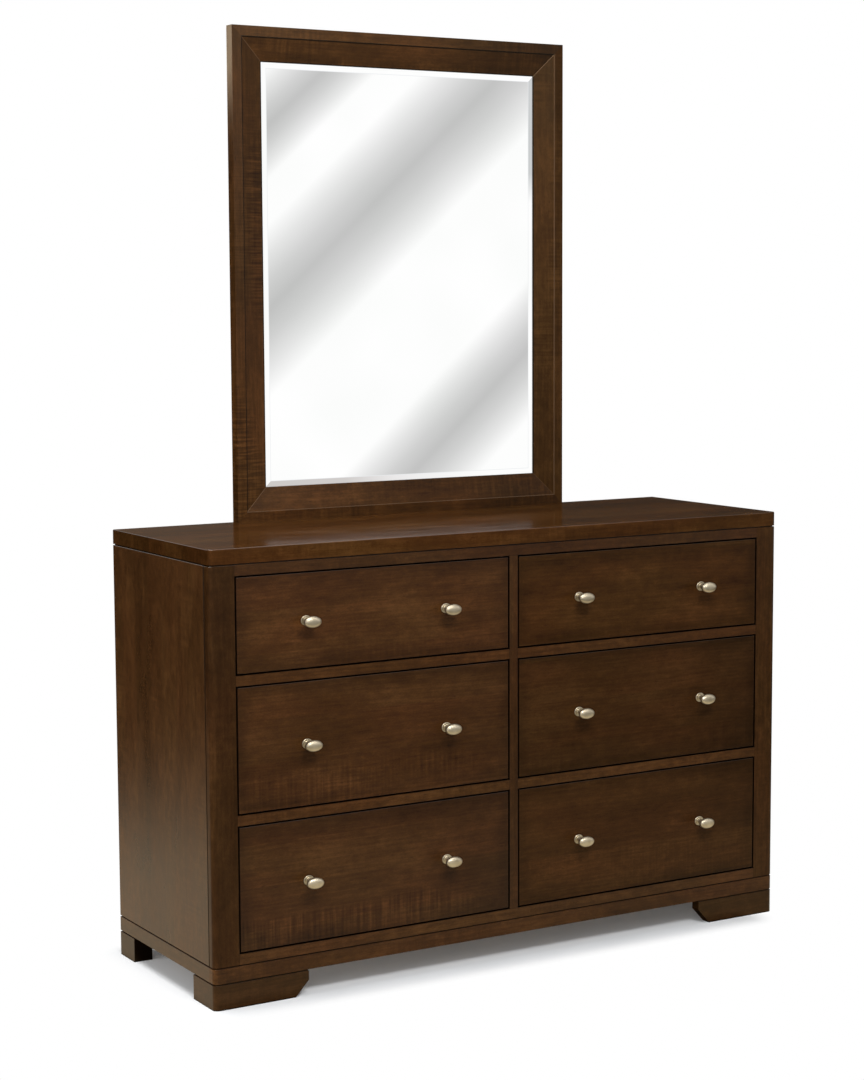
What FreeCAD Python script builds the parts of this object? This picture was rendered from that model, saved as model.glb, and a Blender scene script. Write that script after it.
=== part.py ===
import FreeCAD, Part
import math
import os

from FreeCAD import Vector

# Double dresser with six drawers and a framed, bevelled mirror standing on its top.
# Millimetres. X runs to the right, Y to the back, Z up, and the drawers face -Y.
# The origin is on the floor, under the middle of the whole object.

# Case
width = 1500.0
depth = 500.0
frame_thickness = 25.0       # stiles, rails, base moulding and front feet, front to back
side_thickness = 20.0
back_thickness = 6.0
floor_thickness = 18.0       # panel that closes the case at the bottom
corner_radius = 12.0         # upright front corners, from the top down to the feet
top_reveal = 2.8             # height of the shadow line under the top
base_reveal = 3.2            # height of the shadow lines above and below the base moulding
reveal_depth = 4.5           # how far a shadow line goes in
reveal_ease = 0.8            # small bevel along its lower edge
side_groove = 2.0            # bevel along each edge where a side panel meets the stile before it
eased_edge = 1.2             # small round on the other edges that show

# Heights, from the floor up
foot_height = 57.5
base_height = 35.0
bottom_rail_height = 23.5
low_opening_height = 275.0   # opening of the bottom and of the middle row
middle_rail_height = 23.0
top_opening_height = 210.0
top_rail_height = 26.0
top_thickness = 32.5
top_round = 2.2              # round along the upper edge of the top

# Widths across the front
stile_width = 59.5
centre_stile_width = 22.5

# Feet
front_foot_length = 224.0
front_foot_return = 106.0
foot_cut_width = 32.0        # straight cut at the inner lower corner
foot_cut_height_share = 0.60  # of the foot's height
rear_foot_width = 44.0
rear_foot_depth = 77.0
block_size = 40.0            # block glued inside each front foot
base_back_thickness = 20.0

# Stretchers under the top
stretcher_width = 70.0
stretcher_thickness = 20.0

# Drawers
front_gap = 3.2              # shadow line round each drawer front
front_thickness = 20.0
drawer_rear_room = 44.0      # between the drawer box and the back panel
drawer_side_thickness = 13.0
drawer_back_thickness = 13.0
drawer_room_above = 30.0     # opening above the sides of the box
drawer_room_below = 14.0
bottom_thickness = 6.0
bottom_rise = 12.0           # from the lower edge of the sides up to the bottom
bottom_groove = 6.0          # depth of the groove that holds the bottom

# Drawer slides, a channel on the case and a narrower channel on the drawer
slide_room = 12.7            # between the opening's edge and the drawer box
slide_height = 45.0
slide_sheet = 1.5
slide_clearance = 0.3
slide_rear_room = 8.0        # between the slides and the rear end of the drawer box
slide_setback = 6.0          # from the back of the drawer front
lip_gap = 3.4                # from the edge of each channel's lips to what they face
slide_height_share = 0.42    # middle of the slide, as a share of the box's height
cleat_height = 52.0

# Knobs
knob_spacing = 347.0
rosette_length = 25.0        # oval plate behind the knob, along X
rosette_height = 21.6
rosette_step = 2.5           # thickness of the wide plate
rosette_collar = 1.5         # thickness of the ring on it
rosette_bevel = 1.2
ring_radius = 7.0
neck_radius = 5.0
neck_waist_radius = 4.2
knob_reach = 39.0            # from the drawer front to the face of the head
head_length = 41.0           # oval head, along X
head_height = 24.5
head_face_depth = 8.0        # from its face back to its widest place
head_back_depth = 11.0       # from there back to the neck
head_face_fullness = 2.7     # power of the curve from the face to the rim, 2 is an ellipse
head_back_fullness = 2.1
head_curve_steps = 9
screw_radius = 2.0
screw_head_radius = 4.5
screw_head_height = 2.5
screw_clearance = 0.3
screw_grip = 9.0             # length of the screw inside the knob

# Mirror
mirror_width = 900.0
mirror_height = 1130.0
mirror_band = 23.6           # flat outer band of the frame
mirror_step = 2.2            # drop from the band to the sloping part
mirror_member = 78.5         # whole width of a frame member
mirror_slope = 10.8          # fall of the sloping part towards the glass
mirror_lip = 3.0             # thickness left in front of the glass
rebate_width = 8.0
glass_thickness = 5.0
glass_edge = 2.6             # thickness left at the edge of the bevelled glass
glass_bevel = 20.5
glass_clearance = 1.0        # round the edge of the glass
glass_play = 0.2             # between the glass and the frame in front of it
backing_thickness = 4.0
backing_recess = 3.0         # from the back of the frame in to the backing
support_width = 70.0
support_thickness = 20.0
support_inset = 130.0        # from the mirror's edge to the support
support_drop = 420.0         # reach of the supports below the top of the case
support_top_gap = 20.0       # from the top of the mirror down to the supports
wood_screw_radius = 2.2
wood_screw_head_radius = 4.6
wood_screw_head_height = 2.4
wood_screw_bite = 14.0       # length of the screw beyond the support

overrun = 5.0                # how far a cutting tool passes the surface
touch = 0.05                 # slack for picking edges by their place

# Places that follow from the sizes
bounds_depth = knob_reach + depth + support_thickness + wood_screw_head_height
front = knob_reach - bounds_depth / 2
back = front + depth
frame_back = front + frame_thickness
panel_back = back - back_thickness
foot_top = foot_height
case_bottom = foot_top + base_height
bottom_opening = case_bottom + bottom_rail_height
middle_opening = bottom_opening + low_opening_height + middle_rail_height
top_opening = middle_opening + low_opening_height + middle_rail_height
case_top = top_opening + top_opening_height + top_rail_height
height = case_top + top_thickness
opening_inner = centre_stile_width / 2
opening_outer = width / 2 - stile_width
side_inner = width / 2 - side_thickness
drawer_start = front + front_thickness
drawer_finish = panel_back - drawer_rear_room
slide_start = drawer_start + slide_setback
slide_finish = drawer_finish - slide_rear_room
mirror_depth = mirror_step + mirror_slope + mirror_lip + glass_thickness + backing_thickness + backing_recess
mirror_front = back - mirror_depth
mirror_top = height + mirror_height

rows = [
    ("bottom", bottom_opening, low_opening_height),
    ("middle", middle_opening, low_opening_height),
    ("top", top_opening, top_opening_height),
]
columns = [("left", -1), ("right", 1)]


def box(x_ends, y_ends, z_ends):
    """Box between two places on each axis, given in any order."""
    low = Vector(min(x_ends), min(y_ends), min(z_ends))
    high = Vector(max(x_ends), max(y_ends), max(z_ends))
    return Part.makeBox(high.x - low.x, high.y - low.y, high.z - low.z, low)


def edges_inside(shape, x_ends, y_ends, z_ends):
    """Edges that lie wholly inside a box."""
    room = FreeCAD.BoundBox(min(x_ends), min(y_ends), min(z_ends), max(x_ends), max(y_ends), max(z_ends))
    room.enlarge(touch)
    return [edge for edge in shape.Edges if room.isInside(edge.BoundBox)]


def outer_edges(shape, level, back_too=False):
    """Edges at one height on the very outside of the case: front, ends and, if asked, back."""
    shown = []
    for edge in shape.Edges:
        room = edge.BoundBox
        ends = sorted((abs(room.XMin), abs(room.XMax)))
        at_level = room.ZMin > level - touch and room.ZMax < level + touch
        starts_front = room.YMin < front + touch
        at_front = room.YMax < front + touch
        at_end = ends[0] > width / 2 - touch
        at_corner = starts_front and ends[1] > width / 2 - touch and room.YMax < frame_back - touch
        at_back = room.YMin > back - touch
        if at_level and (at_front or at_end or at_corner or at_back and back_too):
            shown.append(edge)
    return shown


def round_corner(shape, side, radius=corner_radius, inset=0):
    """Rounds the upright front corner on one side of the case."""
    outer = side * (width / 2 - inset)
    bounds = shape.BoundBox
    edges = edges_inside(shape, (outer, outer), (front + inset, front + inset), (bounds.ZMin, bounds.ZMax))
    return shape.makeFillet(radius, edges)


def reveal(shape, level, height):
    """Cuts the shadow line below one height all along the outside, and eases the edge below it."""
    low = level - height
    around = box((-width, width), (front - overrun, back + overrun), (low, level + overrun))
    inside = width / 2 - reveal_depth
    kept = box((-inside, inside), (front + reveal_depth, back + overrun), (low, level + overrun))
    for side in (-1, 1):
        kept = round_corner(kept, side, corner_radius - reveal_depth, reveal_depth)
    shape = shape.cut(around.cut(kept))
    return shape.makeChamfer(reveal_ease, outer_edges(shape, low))


def bevel_upright(shape, side, place):
    """Bevels an upright outer edge of the case's side, half of the V-groove behind a stile."""
    outer = side * width / 2
    bounds = shape.BoundBox
    edges = edges_inside(shape, (outer, outer), (place, place), (bounds.ZMin, bounds.ZMax))
    return shape.makeChamfer(side_groove, edges)


def ease_front(shape):
    """Eases the straight front edges that are still sharp."""
    bounds = shape.BoundBox
    edges = edges_inside(shape, (bounds.XMin, bounds.XMax), (front, front), (bounds.ZMin, bounds.ZMax))
    return shape.makeFillet(eased_edge, edges)


def save(name, *solids):
    """Writes one sub-part, its pieces kept as separate solids."""
    shape = solids[0] if len(solids) == 1 else Part.makeCompound(list(solids))
    shape.exportStep(os.path.join("parts", name + ".step"))


# Top, sides and the panels inside the case
def top_panel():
    slab = box((-width / 2, width / 2), (front, back), (case_top, height))
    for side in (-1, 1):
        slab = round_corner(slab, side)
    return slab.makeFillet(top_round, outer_edges(slab, height, back_too=True))


def side_panel(side):
    panel = box((side * side_inner, side * width / 2), (frame_back, back), (case_bottom, case_top))
    panel = bevel_upright(panel, side, frame_back)
    return reveal(panel, case_top, top_reveal)


def back_panel():
    return box((-side_inner, side_inner), (panel_back, back), (case_bottom, case_top))


def bottom_panel():
    return box((-side_inner, side_inner), (frame_back, panel_back), (case_bottom, case_bottom + floor_thickness))


def centre_partition():
    z_ends = (case_bottom + floor_thickness, case_top)
    return box((-opening_inner, opening_inner), (frame_back, panel_back), z_ends)


def top_stretchers():
    """Two boards under the top on each side of the partition, at the front and at the back."""
    boards = []
    for side in (-1, 1):
        for start in (frame_back, panel_back - stretcher_width):
            x_ends = (side * opening_inner, side * side_inner)
            y_ends = (start, start + stretcher_width)
            boards.append(box(x_ends, y_ends, (case_top - stretcher_thickness, case_top)))
    return boards


# Face frame
def outer_stile(side):
    x_ends = (side * opening_outer, side * width / 2)
    stile = box(x_ends, (front, frame_back), (case_bottom, case_top))
    stile = round_corner(stile, side)
    stile = bevel_upright(stile, side, frame_back)
    return reveal(stile, case_top, top_reveal)


def long_rail(low, high):
    """Rail over the whole width between the outer stiles."""
    return box((-opening_outer, opening_outer), (front, frame_back), (low, high))


def centre_stile():
    x_ends = (-opening_inner, opening_inner)
    z_ends = (bottom_opening, top_opening + top_opening_height)
    return box(x_ends, (front, frame_back), z_ends)


def middle_rails():
    rails = []
    for level in (middle_opening, top_opening):
        for side in (-1, 1):
            x_ends = (side * opening_inner, side * opening_outer)
            rails.append(box(x_ends, (front, frame_back), (level - middle_rail_height, level)))
    return rails


# Base moulding and feet
def base_front():
    board = box((-width / 2, width / 2), (front, frame_back), (foot_top, case_bottom))
    for side in (-1, 1):
        board = round_corner(board, side)
    return reveal(board, case_bottom, base_reveal)


def base_side(side):
    x_ends = (side * (width / 2 - frame_thickness), side * width / 2)
    board = box(x_ends, (frame_back, back), (foot_top, case_bottom))
    return reveal(board, case_bottom, base_reveal)


def base_back():
    inner = width / 2 - frame_thickness
    return box((-inner, inner), (back - base_back_thickness, back), (foot_top, case_bottom))


def front_foot(side):
    """Bracket foot: a front board with its inner lower corner cut off, a short return and a block."""
    outer = side * width / 2
    inner = outer - side * front_foot_length
    cut = inner + side * foot_cut_width
    cut_top = foot_top * foot_cut_height_share
    outline = [(outer, 0), (cut, 0), (inner, cut_top), (inner, foot_top), (outer, foot_top), (outer, 0)]
    wire = Part.makePolygon([Vector(x, front, z) for x, z in outline])
    board = Part.Face(wire).extrude(Vector(0, frame_thickness, 0))
    board = round_corner(board, side)
    board = reveal(board, foot_top, base_reveal)

    behind = (frame_back, front + front_foot_return)
    returned = box((outer, outer - side * frame_thickness), behind, (0, foot_top))
    returned = reveal(returned, foot_top, base_reveal)

    block_x = outer - side * frame_thickness
    block = box((block_x, block_x - side * block_size), (frame_back, frame_back + block_size), (0, foot_top))
    return board, returned, block


def rear_feet():
    feet = []
    for side in (-1, 1):
        x_ends = (side * width / 2, side * (width / 2 - rear_foot_width))
        foot = box(x_ends, (back - rear_foot_depth, back), (0, foot_top))
        feet.append(reveal(foot, foot_top, base_reveal))
    return feet


# Slides, and the cleats that bring them out to the edge of the opening
def drawer_box_levels(level, opening_height):
    """Lower and upper edge of a drawer's sides."""
    return level + drawer_room_below, level + opening_height - drawer_room_above


def slide_middle(level, opening_height):
    low, high = drawer_box_levels(level, opening_height)
    return low + (high - low) * slide_height_share


def slide_cleats():
    cleats = []
    for _, level, opening_height in rows:
        middle = slide_middle(level, opening_height)
        for side in (-1, 1):
            x_ends = (side * opening_outer, side * side_inner)
            z_ends = (middle - cleat_height / 2, middle + cleat_height / 2)
            cleats.append(box(x_ends, (frame_back, slide_finish), z_ends))
    return cleats


def channel(wall, opens, lip, half_height, middle):
    """Sheet channel along Y. Its web lies on the wall, and its lips reach out from it."""
    y_ends = (slide_start, slide_finish)
    web = (wall, wall + opens * slide_sheet)
    reach = (wall, wall + opens * lip)
    shape = box(web, y_ends, (middle - half_height, middle + half_height))
    for end in (-1, 1):
        tip = middle + end * half_height
        shape = shape.fuse(box(reach, y_ends, (tip, tip - end * slide_sheet)))
    return shape.removeSplitter()


def slide_pair(side, level, opening_height, column_side):
    """Case channel and drawer channel on one side of one drawer. The side is -1 left, 1 right."""
    wall = column_side * opening_outer if side == column_side else column_side * opening_inner
    middle = slide_middle(level, opening_height)
    case_half = slide_height / 2
    runner_half = case_half - slide_sheet - slide_clearance
    case_lip = slide_room - lip_gap
    runner_lip = slide_room - slide_sheet - lip_gap
    case_channel = channel(wall, -side, case_lip, case_half, middle)
    runner = channel(wall - side * slide_room, side, runner_lip, runner_half, middle)
    return case_channel, runner


# Drawers
def drawer_front(low, high, column_side):
    inner = column_side * (opening_inner + front_gap)
    outer = column_side * (opening_outer - front_gap)
    board = box((inner, outer), (front, front + front_thickness), (low, high))
    board = ease_front(board)
    for place in knob_places(low, high, column_side):
        board = board.cut(rod(place.x, place.z, screw_radius + screw_clearance, front, front_thickness))
    return board


def knob_places(low, high, column_side):
    middle_x = column_side * (opening_inner + opening_outer) / 2
    middle_z = (low + high) / 2
    return [Vector(middle_x + end * knob_spacing / 2, front, middle_z) for end in (-1, 1)]


def rod(x, z, radius, start, length):
    """Round bar along Y."""
    return Part.makeCylinder(radius, length, Vector(x, start, z), Vector(0, 1, 0))


def drawer_box(low, high, column_side):
    """Two sides and a back, the sides grooved for the bottom. The back stands on the bottom."""
    outer_edge = column_side * (opening_outer - slide_room)
    inner_edge = column_side * (opening_inner + slide_room)
    faces = (min(inner_edge, outer_edge), max(inner_edge, outer_edge))
    bottom_low = low + bottom_rise
    bottom_high = bottom_low + bottom_thickness
    inward = (faces[0] + drawer_side_thickness, faces[1] - drawer_side_thickness)

    slot_x = (inward[0] - bottom_groove, inward[1] + bottom_groove)
    slot = box(slot_x, (drawer_start - overrun, drawer_finish + overrun), (bottom_low, bottom_high))
    sides = []
    for face, inner_face in zip(faces, inward):
        sides.append(box((face, inner_face), (drawer_start, drawer_finish), (low, high)).cut(slot))
    rear = box(inward, (drawer_finish - drawer_back_thickness, drawer_finish), (bottom_high, high))
    bottom = box(slot_x, (drawer_start, drawer_finish), (bottom_low, bottom_high))
    return sides + [rear], bottom


def turned(place, points, length, height):
    """Solid turned about Y from points of (share of the radius, place along Y), then made oval."""
    outline = [Vector(share, along, 0) for share, along in points]
    shape = Part.Face(Part.makePolygon(outline)).revolve(Vector(0, 0, 0), Vector(0, 1, 0), 360)
    return made_oval(place, shape, length, height)


def made_oval(place, shape, length, height):
    stretch = FreeCAD.Matrix()
    stretch.scale(Vector(length / 2, 1, height / 2))
    shape = shape.transformGeometry(stretch)
    shape.translate(Vector(place.x, 0, place.z))
    return shape


def knob_head(place):
    """Oval head with a flatly domed face, a full round rim and a back drawn in to the neck."""
    face = place.y - knob_reach
    widest = face + head_face_depth
    neck_share = neck_radius / (head_height / 2)
    curve = []
    for step in range(head_curve_steps + 1):
        turn = math.pi / 2 * step / head_curve_steps
        share = math.sin(turn) ** (2 / head_face_fullness)
        curve.append(Vector(share, widest - head_face_depth * math.cos(turn) ** (2 / head_face_fullness), 0))
    for step in range(1, head_curve_steps):
        turn = math.pi / 2 * (1 - step / head_curve_steps)
        share = math.sin(turn) ** (2 / head_back_fullness)
        if share > neck_share:
            curve.append(Vector(share, widest + head_back_depth * math.cos(turn) ** (2 / head_back_fullness), 0))
    finish = widest + head_back_depth
    curve.append(Vector(neck_share, finish, 0))
    line = Part.BSplineCurve()
    line.interpolate(curve)
    ends = Part.makePolygon([curve[-1], Vector(0, finish, 0), curve[0]])
    outline = Part.Wire([line.toShape()] + ends.Edges)
    head = Part.Face(outline).revolve(Vector(0, 0, 0), Vector(0, 1, 0), 360)
    return made_oval(place, head, head_length, head_height)


def knob(place):
    """Turned knob: a stepped oval rosette, a waisted neck and an oval head, with its machine screw."""
    face = place.y
    head_back = face - knob_reach + head_face_depth + head_back_depth
    step_face = face - rosette_step
    rosette_face = step_face - rosette_collar
    half = rosette_height / 2
    rosette = turned(place, [
        (0, face),
        (1, face),
        (1, step_face + rosette_bevel),
        (1 - rosette_bevel / half, step_face),
        (0, step_face),
        (0, face),
    ], rosette_length, rosette_height)
    stem = [
        (0, face),
        (ring_radius, face),
        (ring_radius, rosette_face),
        (neck_radius + rosette_bevel, rosette_face),
        (neck_waist_radius, (rosette_face + head_back) / 2),
        (neck_radius, head_back),
        (neck_radius, head_back - head_back_depth / 2),
        (0, head_back - head_back_depth / 2),
        (0, face),
    ]
    outline = Part.makePolygon([Vector(place.x + across, along, place.z) for across, along in stem])
    axis_point = Vector(place.x, 0, place.z)
    neck = Part.Face(outline).revolve(axis_point, Vector(0, 1, 0), 360)
    tapped = rod(place.x, place.z, screw_radius + screw_clearance, face - screw_grip, screw_grip)
    body = neck.fuse([rosette, knob_head(place)]).cut(tapped)

    rear_face = face + front_thickness
    shank = rod(place.x, place.z, screw_radius, face - screw_grip, screw_grip + front_thickness)
    cap = rod(place.x, place.z, screw_head_radius, rear_face, screw_head_height)
    return body, shank.fuse(cap)


# Mirror
def frame_member(start, finish, lengthwise, inward):
    """Mitred member of the mirror's frame, from one outer corner to the other.

    The profile is given from the outer edge inwards and from the front face backwards.
    """
    slope_foot = mirror_step + mirror_slope
    lip_back = slope_foot + mirror_lip
    rebate = mirror_member - rebate_width
    profile = [
        (0, 0),
        (mirror_band, 0),
        (mirror_band, mirror_step),
        (mirror_member, slope_foot),
        (mirror_member, lip_back),
        (rebate, lip_back),
        (rebate, mirror_depth),
        (0, mirror_depth),
        (0, 0),
    ]
    outline = Part.makePolygon([start + inward * across + Vector(0, deep, 0) for across, deep in profile])
    bar = Part.Face(outline).extrude(finish - start)
    inner_start = start + (inward + lengthwise) * mirror_member
    inner_finish = finish + (inward - lengthwise) * mirror_member
    ahead = Vector(0, -overrun, 0)
    corners = [start, finish, inner_finish, inner_start, start]
    mitred = Part.Face(Part.makePolygon([corner + ahead for corner in corners]))
    return bar.common(mitred.extrude(Vector(0, mirror_depth + 2 * overrun, 0)))


def mirror_corner(side, level):
    return Vector(side * mirror_width / 2, mirror_front, level)


def mirror_frame():
    up = Vector(0, 0, 1)
    right = Vector(1, 0, 0)
    low_rail = frame_member(mirror_corner(-1, height), mirror_corner(1, height), right, up)
    high_rail = frame_member(mirror_corner(-1, mirror_top), mirror_corner(1, mirror_top), right, -up)
    save("mirror_rail_bottom", drilled(low_rail))
    save("mirror_rail_top", drilled(high_rail))
    save("mirror_stile_left", frame_member(mirror_corner(-1, height), mirror_corner(-1, mirror_top), up, right))
    save("mirror_stile_right", frame_member(mirror_corner(1, height), mirror_corner(1, mirror_top), up, -right))


def mirror_plates():
    """Bevelled glass in the rebate, its bevel against the frame's lip, and the backing behind it."""
    edge = mirror_member - rebate_width + glass_clearance
    half = mirror_width / 2 - edge
    low = height + edge
    high = mirror_top - edge
    bevel_depth = glass_thickness - glass_edge
    covered = rebate_width - glass_clearance
    drop_at_lip = bevel_depth * (glass_bevel - covered) / glass_bevel
    glass_front = mirror_front + mirror_step + mirror_slope + mirror_lip - drop_at_lip + glass_play
    glass_back = glass_front + glass_thickness
    bevel_back = glass_front + bevel_depth
    plate = box((-half, half), (bevel_back, glass_back), (low, high))
    flat = half - glass_bevel
    face_low = low + glass_bevel
    face_high = high - glass_bevel
    bevelled = Part.makeWedge(-flat, glass_front, face_low, low, -half, flat, bevel_back, face_high, high, half)
    glass = plate.fuse(bevelled).removeSplitter()
    backing = box((-half, half), (glass_back, glass_back + backing_thickness), (low, high))
    return glass, backing


def support_screw_places():
    """Axes of the screws: in both mirror rails, in the top and in the stretcher under it."""
    middle = mirror_width / 2 - support_inset - support_width / 2
    levels = [
        mirror_top - mirror_member / 2,
        height + mirror_member / 2,
        height - top_thickness / 2,
        case_top - stretcher_thickness / 2,
    ]
    return [(side * middle, level) for side in (-1, 1) for level in levels]


def drilled(shape):
    """The shape with holes for the support screws, where any reach it."""
    for x, z in support_screw_places():
        start = back - wood_screw_bite - screw_clearance
        hole = rod(x, z, wood_screw_radius + screw_clearance, start, back + support_thickness + overrun - start)
        shape = shape.cut(hole)
    return shape


def mirror_supports():
    """Two upright boards behind the mirror and the case."""
    boards = []
    for side in (-1, 1):
        outer = side * (mirror_width / 2 - support_inset)
        x_ends = (outer, outer - side * support_width)
        z_ends = (height - support_drop, mirror_top - support_top_gap)
        boards.append(drilled(box(x_ends, (back, back + support_thickness), z_ends)))
    return boards


def support_screws():
    screws = []
    for x, z in support_screw_places():
        rear_face = back + support_thickness
        shank = rod(x, z, wood_screw_radius, back - wood_screw_bite, wood_screw_bite + support_thickness)
        cap = rod(x, z, wood_screw_head_radius, rear_face, wood_screw_head_height)
        screws.append(shank.fuse(cap))
    return screws


os.makedirs("parts", exist_ok=True)

save("top_panel", drilled(top_panel()))
save("side_panel_left", side_panel(-1))
save("side_panel_right", side_panel(1))
save("back_panel", drilled(back_panel()))
save("bottom_panel", bottom_panel())
save("centre_partition", centre_partition())
save("top_stretchers", *[drilled(board) for board in top_stretchers()])
save("stile_left", outer_stile(-1))
save("stile_right", outer_stile(1))
save("stile_centre", centre_stile())
save("rail_top", reveal(long_rail(case_top - top_rail_height, case_top), case_top, top_reveal))
save("rail_bottom", long_rail(case_bottom, bottom_opening))
save("rails_middle", *middle_rails())
save("base_moulding_front", base_front())
save("base_moulding_left", base_side(-1))
save("base_moulding_right", base_side(1))
save("base_rail_back", base_back())
save("foot_front_left", *front_foot(-1))
save("foot_front_right", *front_foot(1))
save("feet_rear", *rear_feet())
save("slide_cleats", *slide_cleats())

case_channels = []
for row, level, opening_height in rows:
    low, high = drawer_box_levels(level, opening_height)
    front_low = level + front_gap
    front_high = level + opening_height - front_gap
    for column, column_side in columns:
        place = row + "_" + column
        pairs = [slide_pair(side, level, opening_height, column_side) for side in (-1, 1)]
        case_channels += [case_channel for case_channel, runner in pairs]
        box_pieces, drawer_bottom = drawer_box(low, high, column_side)
        knob_pieces = [piece for spot in knob_places(front_low, front_high, column_side) for piece in knob(spot)]
        save("drawer_front_" + place, drawer_front(front_low, front_high, column_side))
        save("drawer_box_" + place, *box_pieces)
        save("drawer_bottom_" + place, drawer_bottom)
        save("drawer_runners_" + place, *[runner for case_channel, runner in pairs])
        save("knobs_" + place, *knob_pieces)
save("slide_channels", *case_channels)

mirror_glass, mirror_backing = mirror_plates()
mirror_frame()
save("mirror_glass", mirror_glass)
save("mirror_backing", mirror_backing)
save("mirror_supports", *mirror_supports())
save("mirror_support_screws", *support_screws())
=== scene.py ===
import bpy
import math
import numpy as np
from mathutils import Matrix, Vector


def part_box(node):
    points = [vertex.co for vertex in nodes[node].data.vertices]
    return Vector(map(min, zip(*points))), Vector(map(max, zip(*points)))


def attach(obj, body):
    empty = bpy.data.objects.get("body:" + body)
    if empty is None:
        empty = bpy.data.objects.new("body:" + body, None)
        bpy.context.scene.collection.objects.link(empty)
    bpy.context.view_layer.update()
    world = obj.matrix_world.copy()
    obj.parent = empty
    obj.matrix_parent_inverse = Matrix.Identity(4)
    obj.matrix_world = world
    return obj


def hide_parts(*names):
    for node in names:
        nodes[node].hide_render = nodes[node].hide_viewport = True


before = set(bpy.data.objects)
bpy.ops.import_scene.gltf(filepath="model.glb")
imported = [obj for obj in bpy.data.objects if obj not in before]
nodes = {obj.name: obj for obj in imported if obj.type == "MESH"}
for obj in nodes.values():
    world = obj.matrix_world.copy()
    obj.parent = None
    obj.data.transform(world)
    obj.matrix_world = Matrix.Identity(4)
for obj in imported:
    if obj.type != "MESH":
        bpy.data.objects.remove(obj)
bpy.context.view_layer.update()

mm = 0.001
rows = ("bottom", "middle", "top")
sides = ("left", "right")
places = [row + "_" + side for row in rows for side in sides]    # where the six drawers are
print("frame loaded:", len(nodes), "nodes")


# small tools

def hexColour(text):
    # sRGB hex to linear RGBA: below 0.04045 a straight line, above it a power of 2.4
    values = [int(text[i:i + 2], 16) / 255 for i in (1, 3, 5)]
    linear = [v / 12.92 if v <= 0.04045 else ((v + 0.055) / 1.055) ** 2.4 for v in values]
    return (*linear, 1.0)


def add(tree, kind, links=(), stops=None, **settings):
    # one node with its settings; links fills its sockets, by name or number or in their own order,
    # each with a number, a colour, a node or another node's output
    node = tree.nodes.new("ShaderNode" + kind)
    for name, value in settings.items():
        setattr(node, name, value)
    sockets = links if isinstance(links, dict) else dict(enumerate(links))
    for socket, value in sockets.items():
        if isinstance(value, bpy.types.Node):
            value = value.outputs[0]
        if isinstance(value, bpy.types.NodeSocket):
            tree.links.new(value, node.inputs[socket])
        else:
            node.inputs[socket].default_value = value
    if stops:
        ramp = node.color_ramp
        while len(ramp.elements) < len(stops):
            ramp.elements.new(0.5)
        for element, (place, colour) in zip(ramp.elements, stops):
            element.position = place
            element.color = hexColour(colour)
    return node


def newMaterial(name):
    material = bpy.data.materials.new(name)
    material.use_nodes = True
    material.node_tree.nodes.clear()
    return material, material.node_tree


def dress(piece, material):
    # a CAD node keeps its mesh and gets the material in every slot
    if not piece.material_slots:
        piece.data.materials.append(material)
    for slot in piece.material_slots:
        slot.material = material


def gridSurface(points, closed=True, poles=True):
    # points is (rows, columns, 3): quads between neighbours, round the columns if closed,
    # and a fan to the middle of the first and last row if it has poles
    rowCount, columnCount = points.shape[:2]
    index = np.arange(rowCount * columnCount).reshape(rowCount, columnCount)
    right = np.roll(index, -1, axis=1) if closed else index[:, 1:]
    left = index if closed else index[:, :-1]
    quads = np.stack([left[:-1], right[:-1], right[1:], left[1:]], axis=-1).reshape(-1, 4)
    verts = points.reshape(-1, 3)
    faces = quads.tolist()
    if poles:
        pole = len(verts)
        verts = np.vstack([verts, points[0].mean(0), points[-1].mean(0)])
        ring = np.full(columnCount, pole)
        faces += np.stack([ring, right[0], left[0]], axis=-1).tolist()
        faces += np.stack([ring + 1, left[-1], right[-1]], axis=-1).tolist()
    return verts, faces


def makePiece(name, surfaces, material, smooth=True, sharp=40):
    # several surfaces become one mesh whose object sits at the origin; edges over sharp degrees stay hard
    verts, faces, start = [], [], 0
    for points, polygons in surfaces:
        verts.append(points)
        faces += [[v + start for v in polygon] for polygon in polygons]
        start += len(points)
    mesh = bpy.data.meshes.new(name)
    mesh.from_pydata(np.vstack(verts).tolist(), [], faces)
    mesh.update()
    mesh.polygons.foreach_set("use_smooth", np.full(len(mesh.polygons), smooth))
    if smooth:
        mesh.set_sharp_from_angle(angle=math.radians(sharp))
    mesh.materials.append(material)
    piece = bpy.data.objects.new(name, mesh)
    bpy.context.scene.collection.objects.link(piece)
    return piece


# camera

cameraLook = {
    "place": (-2.7342, -4.4727, 1.5009),
    "yaw": 30.801,      # degrees to the right of straight at the drawers
    "pitch": 6.156,     # degrees down
    "roll": -0.272,
    "focalPixels": 2269.0, "imageHeight": 1080, "sensor": 36,
}


def placeCamera(look):
    data = bpy.data.cameras.new("camera")
    data.sensor_width = look["sensor"]
    data.lens = look["focalPixels"] * data.sensor_width / look["imageHeight"]
    camera = bpy.data.objects.new("camera", data)
    bpy.context.scene.collection.objects.link(camera)
    yaw, pitch, roll = (math.radians(look[k]) for k in ("yaw", "pitch", "roll"))
    ahead = Vector((math.sin(yaw) * math.cos(pitch), math.cos(yaw) * math.cos(pitch), -math.sin(pitch)))
    side = Vector((math.cos(yaw), -math.sin(yaw), 0))
    above = side.cross(ahead)
    turned = side * math.cos(roll) + above * math.sin(roll)
    raised = above * math.cos(roll) - side * math.sin(roll)
    turn = Matrix([turned, raised, -ahead]).transposed().to_4x4()
    camera.matrix_world = Matrix.Translation(look["place"]) @ turn
    bpy.context.scene.camera = camera


placeCamera(cameraLook)
bpy.context.scene.view_settings.view_transform = "Standard"
print("camera placed")


# studio: lamps, world, floor

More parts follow.
